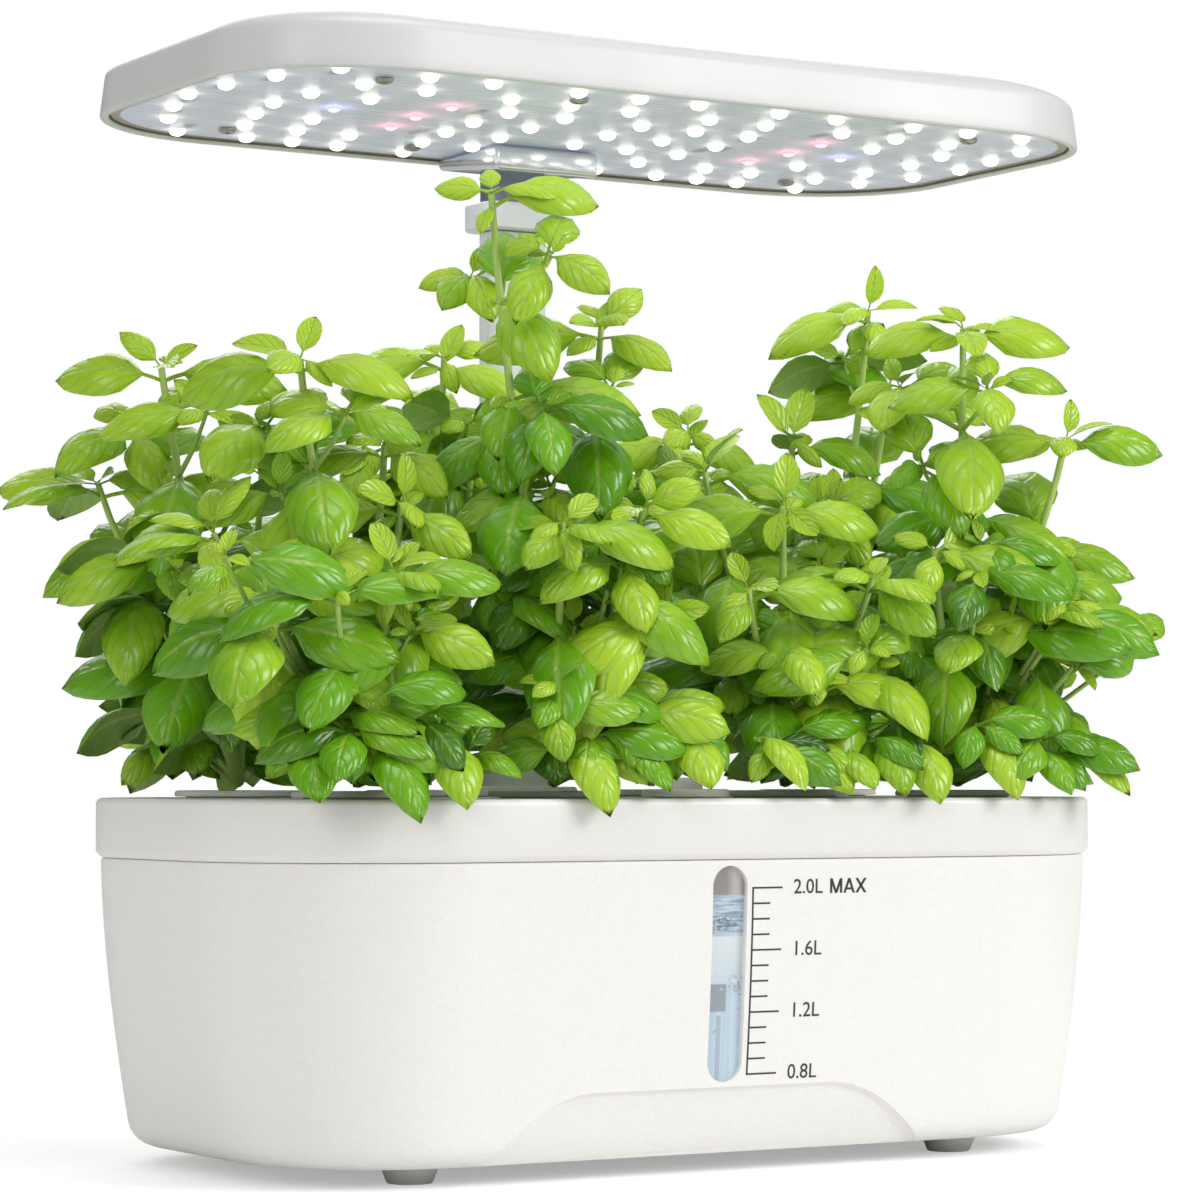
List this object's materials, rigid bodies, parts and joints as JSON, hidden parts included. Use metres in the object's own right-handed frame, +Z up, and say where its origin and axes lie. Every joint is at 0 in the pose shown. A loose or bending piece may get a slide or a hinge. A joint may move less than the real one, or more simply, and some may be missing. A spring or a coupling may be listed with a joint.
{
  "type": "countertop hydroponic garden",
  "caption": "Indoor herb garden: a rounded water tank with a sight window, a lid of basil pods, and an LED grow lamp on a telescoping mast.",
  "frame": {"origin": "middle of the footprint, on the surface that the feet stand on", "axes": "+X to the right along the length, -Y out of the front with the sight window, +Z up"},
  "size_m": [0.31, 0.16, 0.2959],
  "materials": {
    "tank_white": "fine matte texture, off-white",
    "lid_white": "satin off-white",
    "window_clear": "clear, with a printed level scale",
    "gasket_rubber": "matte black",
    "foot_rubber": "matte grey",
    "pump_grey": "matte grey",
    "pump_white": "satin white",
    "suction_clear": "clear soft rubber",
    "basket_white": "satin white",
    "sponge_brown": "open-cell growing sponge",
    "basil_green": "glossy basil leaves and pale green stems",
    "mast_white": "smooth satin white",
    "head_silver": "glossy silver white",
    "shade_white": "smooth matte white",
    "board_aluminium": "brushed along its length",
    "screw_steel": "dull steel",
    "driver_green": "lacquered circuit board"
  },
  "bodies": {
    "tank": {"tank_shell": "tank_white", "sight_window": "window_clear", "window_gasket": "gasket_rubber", "foot_front_left": "foot_rubber", "foot_front_right": "foot_rubber", "foot_rear_left": "foot_rubber", "foot_rear_right": "foot_rubber", "pump_body": "pump_grey", "pump_cover": "pump_grey", "pump_nozzle": "pump_white", "suction_cup_1": "suction_clear", "suction_cup_2": "suction_clear", "suction_cup_3": "suction_clear", "suction_cup_4": "suction_clear"},
    "rotor": {"pump_rotor": "pump_white"},
    "lid": {"lid": "lid_white", "mast_socket": "lid_white", "dc_inlet": "screw_steel", "mast_lower": "mast_white"},
    "cap": {"fill_cap": "lid_white"},
    "lamp": {"mast_upper": "mast_white", "lamp_head": "head_silver", "lamp_shade": "shade_white", "led_board": "board_aluminium", "driver_board": "driver_green", "mode_switch": "gasket_rubber", "board_screw_1": "screw_steel", "board_screw_2": "screw_steel", "board_screw_3": "screw_steel", "board_screw_4": "screw_steel", "board_screw_5": "screw_steel", "board_screw_6": "screw_steel"},
    "button": {"mode_button": "shade_white"},
    "pod_1": {"basket_1": "basket_white", "sponge_1": "sponge_brown", "basil_1": "basil_green"},
    "pod_2": {"basket_2": "basket_white", "sponge_2": "sponge_brown", "basil_2": "basil_green"},
    "pod_3": {"basket_3": "basket_white", "sponge_3": "sponge_brown", "basil_3": "basil_green"},
    "pod_4": {"basket_4": "basket_white", "sponge_4": "sponge_brown", "basil_4": "basil_green"},
    "pod_5": {"basket_5": "basket_white", "sponge_5": "sponge_brown", "basil_5": "basil_green"},
    "pod_6": {"basket_6": "basket_white", "sponge_6": "sponge_brown", "basil_6": "basil_green"},
    "pod_7": {"basket_7": "basket_white", "sponge_7": "sponge_brown", "basil_7": "basil_green"},
    "pod_8": {"basket_8": "basket_white", "sponge_8": "sponge_brown", "basil_8": "basil_green"}
  },
  "joints": [
    {"name": "rotor_spin", "type": "hinge", "parent": "tank", "child": "rotor", "pos_m": [0, -0.044, 0.0298], "axis": [1, 0, 0], "continuous": true},
    {"name": "lid_lift", "type": "slide", "parent": "tank", "child": "lid", "axis": [0, 0, 1], "range_m": [0, 0.08]},
    {"name": "cap_lift", "type": "slide", "parent": "lid", "child": "cap", "axis": [0, 0, 1], "range_m": [0, 0.01]},
    {"name": "mast_telescope", "type": "slide", "parent": "lid", "child": "lamp", "axis": [0, 0, 1], "range_m": [0, 0.12]},
    {"name": "button_press", "type": "slide", "parent": "lamp", "child": "button", "axis": [0, 0, -1], "range_m": [0, 0.0008], "stiffness_N_per_m": 600},
    {"name": "pod_1_lift", "type": "slide", "parent": "lid", "child": "pod_1", "axis": [0, 0, 1], "range_m": [0, 0.045]},
    {"name": "pod_2_lift", "type": "slide", "parent": "lid", "child": "pod_2", "axis": [0, 0, 1], "range_m": [0, 0.012]},
    {"name": "pod_3_lift", "type": "slide", "parent": "lid", "child": "pod_3", "axis": [0, 0, 1], "range_m": [0, 0.045]},
    {"name": "pod_4_lift", "type": "slide", "parent": "lid", "child": "pod_4", "axis": [0, 0, 1], "range_m": [0, 0.028]},
    {"name": "pod_5_lift", "type": "slide", "parent": "lid", "child": "pod_5", "axis": [0, 0, 1], "range_m": [0, 0.045]},
    {"name": "pod_6_lift", "type": "slide", "parent": "lid", "child": "pod_6", "axis": [0, 0, 1], "range_m": [0, 0.038]},
    {"name": "pod_7_lift", "type": "slide", "parent": "lid", "child": "pod_7", "axis": [0, 0, 1], "range_m": [0, 0.045]},
    {"name": "pod_8_lift", "type": "slide", "parent": "lid", "child": "pod_8", "axis": [0, 0, 1], "range_m": [0, 0.022]}
  ]
}
